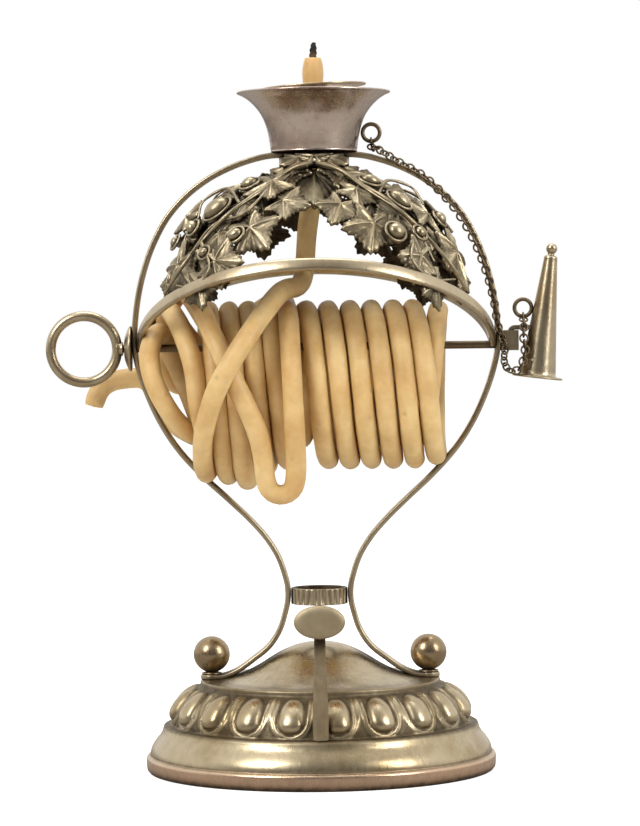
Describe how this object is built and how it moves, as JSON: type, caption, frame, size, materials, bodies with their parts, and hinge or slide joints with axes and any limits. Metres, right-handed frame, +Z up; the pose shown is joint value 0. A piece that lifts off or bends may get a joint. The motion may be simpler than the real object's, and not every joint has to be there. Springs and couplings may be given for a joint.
{
  "type": "wax jack",
  "caption": "Plated table holder for a coiled wax taper, with a wound taper on a spindle, a drip pan and a chained extinguisher.",
  "frame": {"origin": "middle of the round foot, on the plane of its rim", "axes": "+X to the right along the spindle towards the extinguisher, +Y to the back, +Z up; the thumb button faces -Y"},
  "size_m": [0.1135, 0.0832, 0.1599],
  "materials": {
    "silver_plate": "old worn silver plate, warm grey, tarnished in the recesses",
    "dark_plate": "dark tarnished plate and brass",
    "wax": "old beeswax, honey to cream, slightly translucent, crazed",
    "cotton": "burnt cotton wick"
  },
  "bodies": {
    "stand": {"base_shell": "silver_plate", "ball_screws": "silver_plate", "foot_nuts": "dark_plate", "strap_right": "silver_plate", "strap_left": "silver_plate", "waist_ring": "silver_plate", "arch_front": "silver_plate", "arch_rear": "silver_plate", "garland_front": "silver_plate", "garland_rear": "silver_plate", "drip_pan": "silver_plate", "nozzle": "silver_plate", "ring_nut": "silver_plate", "pan_eye": "dark_plate", "chain": "dark_plate", "hook_socket": "silver_plate", "handle_strap": "silver_plate", "thumb_button": "silver_plate", "taper_coil": "wax", "taper_riser": "wax", "taper_tail": "wax", "wick": "cotton"},
    "washer": {"spindle_washer": "silver_plate"},
    "spindle": {"spindle": "silver_plate", "ring_handle": "silver_plate"},
    "extinguisher": {"extinguisher": "silver_plate", "extinguisher_eye": "dark_plate", "extinguisher_hook": "silver_plate", "chain_tail": "dark_plate"},
    "drip_disc": {"drip_disc": "silver_plate"}
  },
  "joints": [
    {"name": "spindle_pull", "type": "slide", "parent": "stand", "child": "washer", "axis": [-1, 0, 0], "range_m": [0, 0.085]},
    {"name": "spindle_spin", "type": "hinge", "parent": "washer", "child": "spindle", "pos_m": [0, 0, 0.093], "axis": [1, 0, 0], "continuous": true},
    {"name": "extinguisher_lift", "type": "slide", "parent": "stand", "child": "extinguisher", "axis": [0, 0, 1], "range_m": [0, 0.005]},
    {"name": "drip_disc_lift", "type": "slide", "parent": "stand", "child": "drip_disc", "axis": [0, 0, 1], "range_m": [0, 0.012]}
  ]
}
